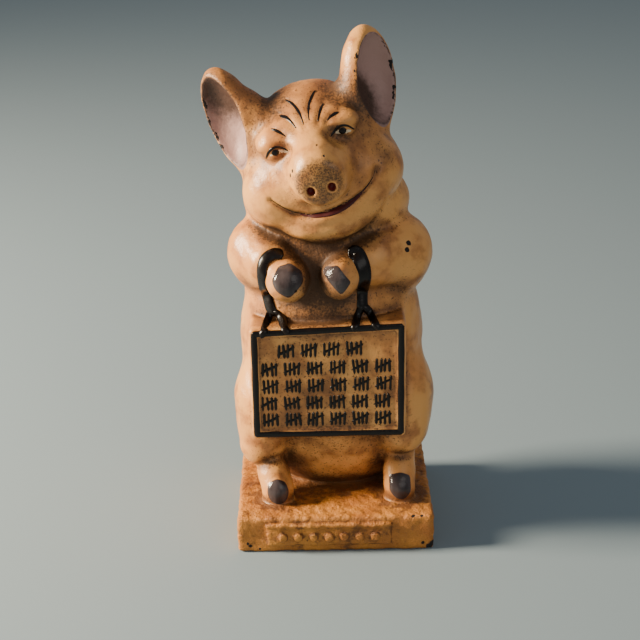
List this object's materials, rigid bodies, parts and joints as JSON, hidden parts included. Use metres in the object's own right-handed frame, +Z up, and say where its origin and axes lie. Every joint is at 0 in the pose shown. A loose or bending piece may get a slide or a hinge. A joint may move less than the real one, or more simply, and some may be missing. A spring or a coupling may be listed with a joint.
{
  "type": "piggy bank",
  "caption": "Painted cast-iron money bank: a pig standing upright on a plinth and holding a framed slate, cast in halves held by one screw.",
  "frame": {"origin": "centre of the plinth's underside", "axes": "+Z up, the pig faces -Y, +X towards the pig's left hand"},
  "size_m": [0.074, 0.0651, 0.1697],
  "materials": {
    "enamelled_iron": "glossy cream and ochre enamel over rough cast iron",
    "steel": "dull oiled steel"
  },
  "bodies": {
    "front": {"front_half": "enamelled_iron", "square_nut": "steel"},
    "back": {"back_half": "enamelled_iron"},
    "screw": {"assembly_screw": "steel"}
  },
  "joints": [
    {"name": "back_slide", "type": "slide", "parent": "front", "child": "back", "axis": [0, 1, 0], "range_m": [0, 0.08]},
    {"name": "screw_slide", "type": "slide", "parent": "back", "child": "screw", "axis": [0, 1, 0], "range_m": [0, 0.045]}
  ]
}
